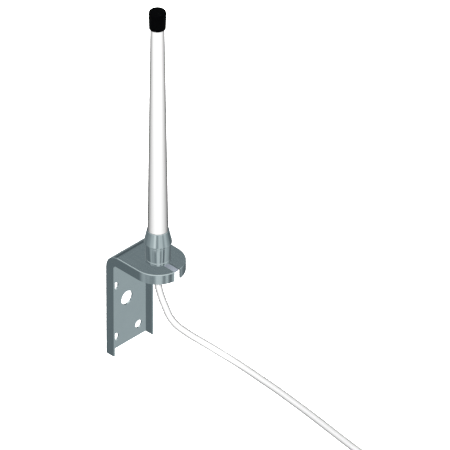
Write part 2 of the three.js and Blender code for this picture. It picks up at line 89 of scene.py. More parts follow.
def make_camera():
    """A long lens from afar, so that the view is all but isometric."""
    lens = 1600
    sensor = 36
    frame_width = 360 * MM
    right = Vector((1, -1, 0)).normalized()
    back = Vector((-1, -1, 1)).normalized()
    up = back.cross(right)
    aside = 53.6 * MM
    above = 27.4 * MM
    target = Vector((AXIS.x, AXIS.y, PLATE_TOP)) * MM + right * aside + up * above
    data = bpy.data.cameras.new("camera")
    data.lens = lens
    data.sensor_width = sensor
    distance = frame_width * lens / sensor
    data.clip_start = distance / 2
    data.clip_end = distance * 2
    camera = bpy.data.objects.new("camera", data)
    camera.location = target + back * distance
    camera.rotation_euler = (-back).to_track_quat("-Z", "Y").to_euler()
    bpy.context.scene.collection.objects.link(camera)
    bpy.context.scene.camera = camera


make_camera()


# ---- Mesh tools ----

def new_object(name, mesh):
    piece = bpy.data.objects.new(name, mesh)
    bpy.context.scene.collection.objects.link(piece)
    return piece


def mesh_object(name, points, faces):
    """A mesh object from points in millimetres."""
    mesh = bpy.data.meshes.new(name)
    mesh.from_pydata([Vector(p) * MM for p in points], [], faces)
    mesh.validate()
    return new_object(name, mesh)


def outward(piece):
    """Turns all faces of a closed piece outwards."""
    work = bmesh.new()
    work.from_mesh(piece.data)
    bmesh.ops.remove_doubles(work, verts=work.verts, dist=0.0005 * MM)
    bmesh.ops.recalc_face_normals(work, faces=work.faces)
    if work.calc_volume(signed=True) < 0:
        bmesh.ops.reverse_faces(work, faces=work.faces)
    work.to_mesh(piece.data)
    work.free()


def smooth(piece, sharp_angle=32):
    piece.data.shade_smooth()
    piece.data.set_sharp_from_angle(angle=math.radians(sharp_angle))


def apply_modifiers(piece):
    graph = bpy.context.evaluated_depsgraph_get()
    made = bpy.data.meshes.new_from_object(piece.evaluated_get(graph))
    piece.modifiers.clear()
    piece.data = made


def cut(piece, cutters):
    """Takes the cutters' shapes out of the piece, and deletes the cutters."""
    for cutter in cutters:
        modifier = piece.modifiers.new("cut", "BOOLEAN")
        modifier.operation = "DIFFERENCE"
        modifier.solver = "EXACT"
        modifier.object = cutter
    apply_modifiers(piece)
    for cutter in cutters:
        bpy.data.objects.remove(cutter)


def soften(piece, width, segments=2, angle=50):
    """Rounds the sharp edges by a width in millimetres, and keeps flat faces flat in the shading."""
    modifier = piece.modifiers.new("edges", "BEVEL")
    modifier.width = width * MM
    modifier.segments = segments
    modifier.limit_method = "ANGLE"
    modifier.angle_limit = math.radians(angle)
    modifier.miter_outer = "MITER_ARC"
    apply_modifiers(piece)
    smooth(piece, 30)
    piece.modifiers.new("normals", "WEIGHTED_NORMAL").keep_sharp = True
    apply_modifiers(piece)


def place(piece, matrix):
    piece.data.transform(matrix)


def rounded(corners, steps=5):
    """A closed outline with its corners rounded. Each corner is (x, y, radius of its rounding)."""
    outline = []
    count = len(corners)
    for i, (x, y, rounding) in enumerate(corners):
        here = Vector((x, y))
        if rounding == 0:
            outline.append((x, y))
            continue
        before = (Vector(corners[i - 1][:2]) - here).normalized()
        after = (Vector(corners[(i + 1) % count][:2]) - here).normalized()
        half = before.angle(after) / 2
        centre = here + (before + after).normalized() * (rounding / math.sin(half))
        reach = rounding / math.tan(half)
        start = here + before * reach - centre
        end = here + after * reach - centre
        first = math.atan2(start.y, start.x)
        sweep = math.remainder(math.atan2(end.y, end.x) - first, 2 * math.pi)
        for k in range(steps + 1):
            angle = first + sweep * k / steps
            outline.append((centre.x + rounding * math.cos(angle), centre.y + rounding * math.sin(angle)))
    return outline


def turned(name, outline, sides=96, shape=None):
    """A body turned about Z. shape(radius, height, angle), if given, returns a changed radius."""
    points = []
    rings = []
    for radius, height in outline:
        ring = []
        for i in range(sides if radius > 1e-6 else 1):
            angle = 2 * math.pi * i / sides
            r = shape(radius, height, angle) if shape and radius > 1e-6 else radius
            ring.append(len(points))
            points.append((r * math.cos(angle), r * math.sin(angle), height))
        rings.append(ring)
    faces = []
    for k, low in enumerate(rings):
        high = rings[(k + 1) % len(rings)]
        if len(low) == 1 and len(high) == 1:
            continue
        for i in range(sides):
            j = (i + 1) % sides
            corners = [low[i % len(low)], low[j % len(low)], high[j % len(high)], high[i % len(high)]]
            faces.append(list(dict.fromkeys(corners)))
    piece = mesh_object(name, points, faces)
    outward(piece)
    smooth(piece)
    return piece


def on_axis(piece):
    """Stands a turned piece, drawn from the plate's top up, on the antenna's axis."""
    place(piece, Matrix.Translation(Vector((AXIS.x, AXIS.y, PLATE_TOP)) * MM))
    return piece


def tube(name, path, section, closed=False):
    """A tube along the path. section is a closed outline of (across, up) pairs, in millimetres."""
    points = []
    count = len(path)
    side = None
    for i, here in enumerate(path):
        ahead = path[(i + 1) % count] if closed or i + 1 < count else here
        behind = path[i - 1] if closed or i > 0 else here
        along = (ahead - behind).normalized()
        if side is None:
            seed = Vector((0, 0, 1)) if abs(along.z) < 0.9 else Vector((1, 0, 0))
            side = along.cross(seed).normalized()
        side = (side - along * side.dot(along)).normalized()
        up = side.cross(along)
        points.extend(here + side * a + up * b for a, b in section)
    sides = len(section)
    faces = []
    for i in range(count if closed else count - 1):
        low = i * sides
        high = ((i + 1) % count) * sides
        for k in range(sides):
            n = (k + 1) % sides
            faces.append([low + k, low + n, high + n, high + k])
    if not closed:
        faces.append(list(range(sides))[::-1])
        faces.append([(count - 1) * sides + k for k in range(sides)])
    piece = mesh_object(name, points, faces)
    outward(piece)
    smooth(piece, 45)
    return piece


def disc(radius, sides):
    turn = 2 * math.pi / sides
    return [(radius * math.cos(turn * k), radius * math.sin(turn * k)) for k in range(sides)]


def smooth_route(points, per_span=6):
    """A centripetal Catmull-Rom curve through the points."""
    ends = [points[0] * 2 - points[1], *points, points[-1] * 2 - points[-2]]
    path = []
    for p0, p1, p2, p3 in zip(ends, ends[1:], ends[2:], ends[3:]):
        t0 = 0.0
        t1 = t0 + math.sqrt((p1 - p0).length)
        t2 = t1 + math.sqrt((p2 - p1).length)
        t3 = t2 + math.sqrt((p3 - p2).length)
        for k in range(per_span):
            t = t1 + (t2 - t1) * k / per_span
            a1 = p0.lerp(p1, (t - t0) / (t1 - t0))
            a2 = p1.lerp(p2, (t - t1) / (t2 - t1))
            a3 = p2.lerp(p3, (t - t2) / (t3 - t2))
            b1 = a1.lerp(a2, (t - t0) / (t2 - t0))
            b2 = a2.lerp(a3, (t - t1) / (t3 - t1))
            path.append(b1.lerp(b2, (t - t1) / (t2 - t1)))
    path.append(points[-1].copy())
    return path


# ---- Cable ----

CABLE_DIAMETER = 0.006
CABLE_RADIUS = CABLE_DIAMETER / MM / 2
HANK_TURNS = 1.5
LAYER_TURNS = 1.75
LAST_TURNS = 1.5
ARC_STEPS = 24
RUN_STEPS = 4
LEAD_STEPS = 10
HANK_PITCH = 2 * CABLE_RADIUS
HANK_RADIUS = (HANK_HIGH.x - HANK_LOW.x) / 2
HANK_OUTER = HANK_RADIUS - CABLE_RADIUS
HANK_INNER = HANK_OUTER - HANK_PITCH * HANK_TURNS
HANK_STRAIGHT = HANK_HIGH.y - HANK_LOW.y - 2 * HANK_RADIUS
HANK_LAYERS = round((HANK_HIGH.z - HANK_LOW.z) / HANK_PITCH)
HANK_NEAR = Vector(((HANK_LOW.x + HANK_HIGH.x) / 2, HANK_HIGH.y - HANK_RADIUS, HANK_LOW.z))

# The free stretch, from the strain relief to the hank, and the short end from the hank to the plug.
CABLE_ROUTE = [
    (0, -0.037, 0.0416), (0, -0.0371, 0.039), (0.0003, -0.0376, 0.035), (0.0012, -0.0387, 0.0288),
    (0.0024, -0.0403, 0.022), (0.0038, -0.0422, 0.0154), (0.0052, -0.0442, 0.0089),
    (0.0076, -0.0467, 0.0028), (0.0109, -0.0496, -0.0027), (0.0149, -0.0527, -0.0076),
    (0.019, -0.0559, -0.0122), (0.0233, -0.0594, -0.0166), (0.0274, -0.0632, -0.0208),
    (0.0312, -0.0677, -0.0247), (0.0345, -0.074, -0.0283), (0.0369, -0.0823, -0.0309),
    (0.0377, -0.092, -0.0322), (0.0375, -0.1039, -0.0328), (0.0366, -0.1179, -0.033),
    (0.0354, -0.1339, -0.033), (0.0335, -0.1517, -0.033), (0.0312, -0.1716, -0.033),
    (0.0285, -0.1914, -0.033), (0.0252, -0.2146, -0.033), (0.022, -0.238, -0.0329),
    (0.0208, -0.252, -0.0327), (0.0209, -0.2655, -0.0325), (0.0227, -0.2785, -0.0323),
    (0.0258, -0.2905, -0.032), (0.0296, -0.302, -0.0318), (0.0332, -0.313, -0.0317),
    (0.035, -0.324, -0.0317),
]
CABLE_TAIL = [
    (-0.0163, -0.4086, 0.0046), (-0.0192, -0.4009, 0.0048), (-0.02, -0.3938, 0.0053),
    (-0.02, -0.3873, 0.006), (-0.02, -0.3821, 0.00625),
]


def ease(t):
    return t * t * (3 - 2 * t)


def hank_stations():
    """One turn of the hank: the angle round an end, and how far along the run that end is."""
    stations = [(0, -HANK_STRAIGHT * k / RUN_STEPS) for k in range(RUN_STEPS)]
    stations += [(-math.pi * k / ARC_STEPS, -HANK_STRAIGHT) for k in range(ARC_STEPS)]
    stations += [(-math.pi, HANK_STRAIGHT * (k / RUN_STEPS - 1)) for k in range(RUN_STEPS)]
    stations += [(-math.pi * (1 + k / ARC_STEPS), 0) for k in range(ARC_STEPS)]
    return stations


def hank_path():
    """The stored turns: each layer winds in or out, and a last part of a turn climbs to the next."""
    stations = hank_stations()
    a_turn = len(stations)
    a_layer = round(LAYER_TURNS * a_turn)
    winding = round(HANK_TURNS * a_turn)
    last = (HANK_LAYERS - 1) * a_layer + round(LAST_TURNS * a_turn)
    tail_height = CABLE_TAIL[0][2] / MM - HANK_LOW.z
    path = []
    for k in range(last + LEAD_STEPS):
        layer, step = divmod(min(k, last), a_layer)
        wound = min(1, step / winding)
        radius = HANK_INNER + (HANK_OUTER - HANK_INNER) * (wound if layer % 2 else 1 - wound)
        climb = ease(max(0, step - winding) / (a_layer - winding))
        height = CABLE_RADIUS + HANK_PITCH * (layer + climb)
        height += (tail_height - height) * ease(max(0, k - last) / LEAD_STEPS)
        angle, along = stations[k % a_turn]
        spot = Vector((radius * math.cos(angle), along + radius * math.sin(angle), height))
        path.append(HANK_NEAR + spot)
    return path


def cable_path():
    """Route, hank and tail in one line, with its two ends run on a little into what they enter."""
    route = smooth_route([Vector(p) / MM for p in CABLE_ROUTE])
    tail = smooth_route([Vector(p) / MM for p in CABLE_TAIL])
    hank = hank_path()
    entry = [route[-1].lerp(hank[0], k / 4) for k in range(1, 4)]
    start = route[0] + Vector((0, 0, 1.5))
    end = tail[-1] + Vector((0, 3, 0))
    return [start, *route, *entry, *hank, *tail, end]


CABLE_PATH = cable_path()
cable = tube("cable", CABLE_PATH, disc(CABLE_RADIUS, 20))


# ---- Bracket ----

SHEET = 1.6
FLANGE_DEPTH = 9
OUTER_BEND = 14
INNER_BEND = 2.5
EDGE_BEND = 0.7
INNER_EDGE_BEND = 0.25
SCREW_HOLE = 7.2
SCREW_ACROSS = 26
SCREW_UPRIGHT = 50
CENTRE_HOLE = 12.5
CENTRE_HOLE_HEIGHT = 7.4
SLOT_WIDTH = 6.6
STUD_HOLE = 16.6
HALF_WIDTH = BRACKET_HIGH.x


def flange_depth(angle):
    """Depth of the flange at an angle round the big bend, where its inner corner is tighter."""
    reach = OUTER_BEND - FLANGE_DEPTH
    turn = INNER_BEND
    c, s = math.cos(angle), math.sin(angle)
    straight = reach - turn
    if s * reach <= straight * c:
        return OUTER_BEND - reach / c
    if c * reach <= straight * s:
        return OUTER_BEND - reach / s
    b = straight * (c + s)
    return OUTER_BEND - (b + math.sqrt(b * b - 2 * straight * straight + turn * turn))


def bracket_stations():
    """Points (y, z), inward directions and flange depths along the L, from its foot to the axis."""
    bend_y = -OUTER_BEND
    bend_z = PLATE_TOP - OUTER_BEND
    bend_steps = 16
    stations = [((0, FLOOR), (-1, 0), FLANGE_DEPTH)]
    for k in range(bend_steps + 1):
        angle = math.pi / 2 * k / bend_steps
        c, s = math.cos(angle), math.sin(angle)
        spot = (bend_y + OUTER_BEND * c, bend_z + OUTER_BEND * s)
        stations.append((spot, (-c, -s), flange_depth(angle)))
    stations.append(((AXIS.y, PLATE_TOP), (0, -1), FLANGE_DEPTH))
    return stations


def edge_section(depth, inset, bend):
    """The flange's face seen end on, from its edge round to the flat: (inset from the side, depth)."""
    section = [(inset, depth)]
    steps = 6
    for k in range(steps + 1):
        angle = math.pi / 2 * k / steps
        section.append((inset + bend * (1 - math.cos(angle)), inset + bend * (1 - math.sin(angle))))
    return section


def bracket_rows(inset, bend):
    """Rows of points across a face of the sheet: up the left side, round the front, down the right."""
    left = []
    right = []
    for (y, z), (ny, nz), depth in bracket_stations():
        section = edge_section(depth, inset, bend)
        left.append([(-HALF_WIDTH + i, y + ny * d, z + nz * d) for i, d in section])
        right.append([(HALF_WIDTH - i, y + ny * d, z + nz * d) for i, d in section])
    front = []
    steps = 72
    for k in range(1, steps):
        angle = math.pi * (1 + k / steps)
        c, s = math.cos(angle), math.sin(angle)
        row = []
        for i, d in edge_section(FLANGE_DEPTH, inset, bend):
            radius = HALF_WIDTH - i
            row.append((AXIS.x + radius * c, AXIS.y + radius * s, PLATE_TOP - d))
        front.append(row)
    return left + front + right[::-1]


def face_of_sheet(rows, straight, first):
    """Faces over the rows' points, numbered from `first`, with the flat between the two sides."""
    across = len(rows[0])
    last = len(rows) - 1
    faces = []
    for i in range(last):
        for k in range(across - 1):
            a = first + i * across + k
            faces.append([a, a + 1, a + across + 1, a + across])
    flat_edge = [first + i * across + across - 1 for i in range(len(rows))]
    for i in range(straight - 1):
        faces.append([flat_edge[i], flat_edge[last - i], flat_edge[last - i - 1], flat_edge[i + 1]])
    faces.append(flat_edge[straight - 1:len(rows) - straight + 1])
    return faces


def bracket_pressing():
    """The bent sheet without its holes: an outer face, an inner face, and the cut edge between."""
    outer = bracket_rows(0, EDGE_BEND)
    inner = bracket_rows(SHEET, INNER_EDGE_BEND)
    straight = len(bracket_stations())
    across = len(outer[0])
    count = len(outer) * across
    faces = face_of_sheet(outer, straight, 0) + face_of_sheet(inner, straight, count)
    rim = [i * across for i in range(len(outer))]
    foot = list(range(across))
    far_foot = [count - across + k for k in range(across)]
    for edge in (rim, foot, far_foot, [foot[-1], far_foot[-1]]):
        faces += [[a, b, b + count, a + count] for a, b in zip(edge, edge[1:])]
    points = [p for row in outer + inner for p in row]
    pressing = mesh_object("bracket_pressing", points, faces)
    outward(pressing)
    return pressing


def hole_cutter(diameter, x, z):
    cutter = turned("cutter", [(0, -4), (diameter / 2, -4), (diameter / 2, 4), (0, 4)], 64)
    turn = Matrix.Rotation(math.pi / 2, 4, "X")
    place(cutter, Matrix.Translation(Vector((x, 0, z)) * MM) @ turn)
    return cutter


def block(name, low, high):
    xs, ys, zs = zip(low, high)
    points = [(x, y, z) for x in xs for y in ys for z in zs]
    faces = [(0, 1, 3, 2), (4, 6, 7, 5), (0, 4, 5, 1), (2, 3, 7, 6), (0, 2, 6, 4), (1, 5, 7, 3)]
    piece = mesh_object(name, points, faces)
    outward(piece)
    return piece


def make_bracket():
    bracket = bracket_pressing()
    cutters = [hole_cutter(CENTRE_HOLE, 0, CENTRE_HOLE_HEIGHT)]
    for x in (-SCREW_ACROSS / 2, SCREW_ACROSS / 2):
        for z in (-SCREW_UPRIGHT / 2, SCREW_UPRIGHT / 2):
            cutters.append(hole_cutter(SCREW_HOLE, x, z))
    radius = STUD_HOLE / 2
    cutters.append(on_axis(turned("cutter", [(0, -5), (radius, -5), (radius, 3), (0, 3)], 64)))
    half = SLOT_WIDTH / 2
    low = (AXIS.x - half, AXIS.y - HALF_WIDTH - 3, PLATE_TOP - FLANGE_DEPTH - 3)
    cutters.append(block("cutter", low, (AXIS.x + half, AXIS.y, PLATE_TOP + 3)))
    cut(bracket, cutters)
    soften(bracket, 0.25)
    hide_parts("bracket")
    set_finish(bracket, "bracket_steel")
    return bracket


# ---- Metal base ----

ROUND = 128                # sides of a large turned piece
BASE_RADIUS = 10.4
BASE_BORE = 8.3
BASE_WASHER_TOP = 2.5
BASE_TOP = 17
SPIGOT_RADIUS = 6.1
SPIGOT_BORE = 3.6
SPIGOT_TOP = 26
COLLAR_BORE = 7.9
COLLAR_FOOT_RADIUS = 11.4
COLLAR_TOP_RADIUS = 9
COLLAR_TOP = 29.6


def make_base():
    washer = turned("base_ring", rounded([
        (BASE_BORE, 0.05, 0.2), (BASE_RADIUS, 0.05, 0.3),
        (BASE_RADIUS, BASE_WASHER_TOP, 0.35), (BASE_BORE, BASE_WASHER_TOP, 0.2),
    ]), ROUND)
    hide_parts("base_washer")
    lower = turned("base_body", rounded([
        (BASE_BORE, BASE_WASHER_TOP + 0.1, 0.2), (BASE_RADIUS, BASE_WASHER_TOP + 0.1, 0.35),
        (BASE_RADIUS, BASE_TOP + 0.1, 0.3), (SPIGOT_RADIUS, BASE_TOP + 0.1, 0),
        (SPIGOT_RADIUS, SPIGOT_TOP, 0.3), (SPIGOT_BORE, SPIGOT_TOP, 0.3),
        (SPIGOT_BORE, 12.3, 0), (BASE_BORE, 12.3, 0),
    ]), ROUND)
    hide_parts("ferrule_base")
    collar = turned("base_collar", rounded([
        (COLLAR_BORE, BASE_TOP + 0.15, 0.2), (COLLAR_FOOT_RADIUS, BASE_TOP + 0.15, 0.35),
        (COLLAR_FOOT_RADIUS, BASE_TOP + 1.2, 0.5), (COLLAR_TOP_RADIUS, COLLAR_TOP, 0.4),
        (COLLAR_BORE, COLLAR_TOP, 0.2),
    ]), ROUND)
    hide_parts("ferrule_collar")
    for piece in (washer, lower, collar):
        on_axis(piece)
        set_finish(piece, "base_steel")
    return [washer, lower, collar]


# ---- Radome and cap ----

RADOME_FOOT = 18.8
RADOME_FOOT_RADIUS = 8.45
RADOME_TIP_RADIUS = 5.55
RADOME_TIP = 237.3
RADOME_WALL = 1.2
RADOME_NECK = 7.6          # where it stands inside the collar
RADOME_NECK_BORE = 6.4


def make_radome():
    radome = turned("radome", rounded([
        (RADOME_NECK_BORE, RADOME_FOOT, 0.2), (RADOME_NECK, RADOME_FOOT, 0.2),
        (RADOME_NECK, COLLAR_TOP + 0.1, 0), (RADOME_FOOT_RADIUS, COLLAR_TOP + 0.1, 0.25),
        (RADOME_TIP_RADIUS, RADOME_TIP, 0.4), (RADOME_TIP_RADIUS - RADOME_WALL, RADOME_TIP, 0.3),
        (RADOME_FOOT_RADIUS - RADOME_WALL, COLLAR_TOP + 2, 0.3),
        (RADOME_NECK_BORE, COLLAR_TOP + 0.4, 0),
    ]), ROUND)
    on_axis(radome)
    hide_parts("radome_tube")
    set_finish(radome, "radome_white")
    return radome


CAP_FOOT = 225.1
CAP_TOP = 241.1
CAP_BORE = 5.95
CAP_ROOF = RADOME_TIP + 0.3


def make_cap():
    cap = turned("cap", rounded([
        (0, CAP_ROOF, 0), (CAP_BORE, CAP_ROOF, 0.6), (CAP_BORE, CAP_FOOT, 0.2),
        (6.8, CAP_FOOT, 0.3), (7.2, CAP_TOP - 3.2, 4), (7.05, CAP_TOP, 1.5), (0, CAP_TOP, 0),
    ], 8), ROUND)
    on_axis(cap)
    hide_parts("end_cap")
    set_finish(cap, "black_rubber")
    return cap


# ---- Stud, nut, washers and strain relief ----

def hex_radius(angle, flats):
    within = (angle + math.pi / 6) % (math.pi / 3) - math.pi / 6
    return flats / 2 / math.cos(within)


def hex_corner(flats, low, high, chamfer_start):
    """A changed radius for a hexagon whose corners are turned off at both ends, at 30 degrees."""
    def shape(radius, height, angle):
        if radius < chamfer_start - 0.01:
            return radius
        room = min(height - low, high - height)
        return min(hex_radius(angle, flats), chamfer_start + room / math.tan(math.radians(30)))
    return shape


def hex_outline(bore, flats, low, high, bore_chamfer, chamfer_start):
    """An outline with rings close together where the turned corners run out."""
    reach = (flats / math.sqrt(3) - chamfer_start) * math.tan(math.radians(30))
    steps = 8
    up = [(flats / 2, low + reach * k / steps) for k in range(steps + 1)]
    down = [(flats / 2, high - reach * k / steps) for k in range(steps, -1, -1)]
    inside = [(bore + bore_chamfer, high), (bore, high - bore_chamfer),
              (bore, low + bore_chamfer), (bore + bore_chamfer, low)]
    return up + down + inside


def hex_piece(name, bore, flats, low, high, bore_chamfer):
    chamfer_start = flats / 2 * 0.97
    outline = hex_outline(bore, flats, low, high, bore_chamfer, chamfer_start)
    return turned(name, outline, 96, hex_corner(flats, low, high, chamfer_start))


STUD_RADIUS = 8
STUD_FOOT = -15
STUD_TOP = 12
THREAD_PITCH = 1.0
THREAD_DEPTH = 0.55


def thread(radius, height, angle):
    """The stud's wall as a screw thread. Its bore and its ends are left round."""
    if radius < STUD_RADIUS - 0.7:
        return radius
    turn = (height / THREAD_PITCH - angle / (2 * math.pi)) % 1
    crest = 1 - abs(2 * turn - 1)
    lead_in = min(1, (height - STUD_FOOT) / 0.9, (STUD_TOP - height) / 0.9)
    return STUD_RADIUS - THREAD_DEPTH * (1 - crest * max(0, lead_in))


def make_stud():
    bore = 4.6
    rings_a_pitch = 6
    rings = round((STUD_TOP - STUD_FOOT) / THREAD_PITCH * rings_a_pitch)
    wall = [(STUD_RADIUS, STUD_FOOT + k * THREAD_PITCH / rings_a_pitch) for k in range(rings + 1)]
    ends = [(bore + 0.3, STUD_TOP), (bore, STUD_TOP - 0.3),
            (bore, STUD_FOOT + 0.3), (bore + 0.3, STUD_FOOT)]
    stud = on_axis(turned("threaded_stud", wall + ends, 72, thread))
    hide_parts("mount_stud")
    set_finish(stud, "fastener_steel")
    return stud


def make_flat_washer():
    low, high = box_mm("flat_washer")
    bottom, top = low.z - PLATE_TOP, high.z - PLATE_TOP
    bore = 8.3
    outer = (high.x - low.x) / 2
    washer = on_axis(turned("washer", rounded([
        (bore, bottom, 0.15), (outer, bottom, 0.35), (outer, top + 0.2, 0.35), (bore, top + 0.2, 0.15),
    ]), ROUND))
    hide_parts("flat_washer")
    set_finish(washer, "fastener_steel")
    return washer


def make_lock_washer():
    """A split ring whose two ends stand a little apart in height."""
    low, high = box_mm("lock_washer")
    bottom, top = low.z - PLATE_TOP, high.z - PLATE_TOP
    bore = 8.4
    outer = 12.1
    middle = (bore + outer) / 2
    split = 0.14
    rise = 0.25
    steps = 96
    path = []
    for k in range(steps + 1):
        t = k / steps
        angle = split / 2 + (2 * math.pi - split) * t
        height = (bottom + top) / 2 + rise * (t - 0.5)
        path.append(Vector((middle * math.cos(angle), middle * math.sin(angle), height)))
    wide = (outer - bore) / 2
    thick = (top - bottom - rise) / 2
    section = rounded([(-wide, -thick, 0.2), (wide, -thick, 0.2), (wide, thick, 0.2), (-wide, thick, 0.2)], 3)
    washer = on_axis(tube("split_washer", path, section))
    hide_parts("lock_washer")
    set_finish(washer, "fastener_steel")
    return washer


def make_nut():
    low, high = box_mm("hex_nut")
    bore = 7.6
    chamfer = 0.7
    foot, top = low.z - PLATE_TOP, high.z - PLATE_TOP
    nut = on_axis(hex_piece("nut", bore, high.y - low.y, foot, top, chamfer))
    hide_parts("hex_nut")
    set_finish(nut, "fastener_steel")
    return nut


RELIEF_END = -21.4


def make_strain_relief():
    """A ribbed bush: a shoulder under the stud, then a taper with grooves that let it flex."""
    hole = 3.1
    shoulder = STUD_FOOT - 0.1
    corners = [(hole, RELIEF_END, 0.15), (4.2, RELIEF_END, 0.4)]
    grooves = 3
    for k in range(grooves):
        foot = RELIEF_END + 1.3 + k * 1.35
        radius = 4.3 + 0.16 * k
        corners += [(radius, foot, 0.12), (radius - 0.45, foot + 0.1, 0.1),
                    (radius - 0.45, foot + 0.5, 0.1), (radius + 0.05, foot + 0.6, 0.12)]
    corners += [(5, shoulder - 2.2, 0.3), (6, shoulder - 1.8, 0.3), (6, shoulder, 0.2),
                (4.3, shoulder, 0), (4.3, -5, 0.3), (hole, -5, 0.2)]
    relief = on_axis(turned("relief_bush", rounded(corners, 3), 72))
    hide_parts("strain_relief")
    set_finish(relief, "black_rubber")
    return relief


# ---- Plug ----

def plug_matrix():
    """The plug's own Z axis laid along its joint's axis, from the plug's cable end."""
    joint = frame["record"]["behaviour"]["joints"][0]
    along = Vector(joint["axis"]).normalized()
    turn = Vector((0, 0, 1)).rotation_difference(along).to_matrix().to_4x4()
    return Matrix.Translation(Vector(joint["pos_m"])) @ turn


PLUG_PLACE = plug_matrix()
PLUG_NUT_FLATS = 8


def plug_piece(piece, node, finish):
    place(piece, PLUG_PLACE)
    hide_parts(node)
    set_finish(piece, finish)
    return piece


def crimp(radius, height, angle):
    """The crimp sleeve's middle, pressed to a hexagon, with round ends."""
    bore = 3.6
    flats = 7.1
    press_foot, press_top = 14, 20.9
    if radius < bore:
        return radius
    pressed = ease(max(0, min(1, height - press_foot))) * ease(max(0, min(1, press_top - height)))
    return radius + (min(radius, hex_radius(angle, flats)) - radius) * pressed


def make_boot():
    """A shrunk sleeve that follows the cable, and swells over the crimp's rim."""
    return plug_piece(turned("plug_sleeve", rounded([
        (3.02, 0.1, 0.1), (3.5, 0.1, 0.2), (3.6, 3, 2), (3.75, 8, 2), (4.1, 9.6, 1.2), (4.1, 12.1, 0.3),
        (3.25, 12.1, 0.1), (3.1, 8, 1),
    ]), 64), "plug_boot", "heat_shrink")


def make_crimp():
    rings = [(3.95, 12.4 + 0.25 * k) for k in range(40)]
    outline = [(3.3, 12.3), (3.8, 12.3), *rings, (3.8, 22.45), (3.3, 22.45)]
    return plug_piece(turned("crimp_sleeve", outline, 96, crimp), "crimp_ferrule", "plug_metal")


def make_plug_body():
    outline = rounded([
        (2, 22.6, 0.1), (3.3, 22.6, 0.2), (3.3, 23.4, 0.15), (3.1, 23.6, 0.1), (3.1, 24, 0.1),
        (3.3, 24.2, 0.15), (3.3, 27, 0.15), (3.9, 27.4, 0.15), (3.9, 31, 0.25), (2.3, 31, 0),
        (2.3, 37, 0.15), (2, 37, 0.1), (2, 30, 0), (1.6, 30, 0), (1.6, 26, 0), (2, 26, 0),
    ], 4)
    return plug_piece(turned("plug_shell", outline, 96), "plug_body", "plug_metal")


def make_coupling_nut():
    """A round collar and a hexagon, with a threaded bore down to the shoulder behind its ring."""
    foot, tip = 31.25, 39.5
    bore = 3.2
    collar_bore = 2.6
    shoulder = 32.7
    flats = PLUG_NUT_FLATS
    hex_foot = foot + 1.9
    start = flats / 2 * 0.99
    reach = (flats / math.sqrt(3) - start) * math.tan(math.radians(30))
    steps = 6
    collar = rounded([
        (collar_bore, foot, 0.1), (3.75, foot, 0.25), (3.95, foot + 0.5, 0.2), (3.95, foot + 1.2, 0.2),
        (3.55, foot + 1.35, 0.1), (3.55, foot + 1.8, 0.1),
    ], 3)[:-1]
    low = [(flats / 2, hex_foot + reach * k / steps) for k in range(steps + 1)]
    high = [(flats / 2, tip - reach * k / steps) for k in range(steps, -1, -1)]
    mouth = [(3.6, tip), (bore, tip - 0.4)]
    ridges = 9
    for k in range(ridges):
        top = tip - 0.5 - k * 0.5
        mouth += [(bore, top), (3.38, top - 0.25)]
    mouth += [(bore, tip - 5.2), (bore, shoulder), (collar_bore, shoulder)]
    shape = hex_corner(flats, hex_foot, tip, start)

    def only_hexagon(radius, height, angle):
        return shape(radius, height, angle) if height >= hex_foot - 1e-6 else radius

    nut = turned("screw_nut", collar + low + high + mouth, 96, only_hexagon)
    return plug_piece(nut, "coupling_nut", "plug_metal")


# ---- Cable ties ----

TIE_GAP = 0.15
TIE_THICK = 1.0
TIE_WIDE = 3.6
TIE_HEAD = 5.2


def flat_section(wide, thick, rounding):
    """A strap's section: a rectangle with rounded edges."""
    w, t = wide / 2, thick / 2
    return rounded([(-w, -t, rounding), (w, -t, rounding), (w, t, rounding), (-w, t, rounding)], 3)


def make_strap():
    """The loop, drawn in radius and height, with a tight bend at each corner."""
    reach = TIE_GAP + TIE_THICK / 2
    bend = 2
    left = HANK_INNER - CABLE_RADIUS - reach
    right = HANK_RADIUS + reach
    low = -reach
    high = HANK_HIGH.z - HANK_LOW.z + reach
    loop = rounded([(left, low, bend), (right, low, bend), (right, high, bend), (left, high, bend)], 6)
    path = [Vector((r, 0, z)) for r, z in loop]
    return tube("strap", path, flat_section(TIE_WIDE, TIE_THICK, 0.3), closed=True)


def make_tie(node, end_y, angle):
    """A thin strap round the hank's section, with its head and the cut end of the strap."""
    face = HANK_RADIUS + TIE_GAP + TIE_THICK
    middle = (HANK_HIGH.z - HANK_LOW.z) / 2
    half = TIE_HEAD / 2
    head = block("head", (face - 0.4, -half, middle - half), (face + 2.6, half, middle + half))
    window = block("window", (face + 0.5, -1.9, middle - 4), (face + 1.7, 1.9, middle + 4))
    cut(head, [window])
    soften(head, 0.35, 3)
    end = block("end", (face + 0.6, -1.7, middle - 5), (face + 1.5, 1.7, middle + 3.4))
    soften(end, 0.2, 2)
    tie = join(node.replace("hank_", ""), [make_strap(), head, end])
    spot = (HANK_NEAR + Vector((0, end_y, 0))) * MM
    place(tie, Matrix.Translation(spot) @ Matrix.Rotation(angle, 4, "Z"))
    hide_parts(node)
    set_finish(tie, "tie_nylon")
    return tie


def join(name, parts):
    """One piece made of several closed shapes."""
    work = bmesh.new()
    for part in parts:
        work.from_mesh(part.data)
    mesh = bpy.data.meshes.new(name)
    work.to_mesh(mesh)
    work.free()
    for part in parts:
        bpy.data.objects.remove(part)
    piece = new_object(name, mesh)
    smooth(piece, 35)
    return piece


# ---- Materials ----

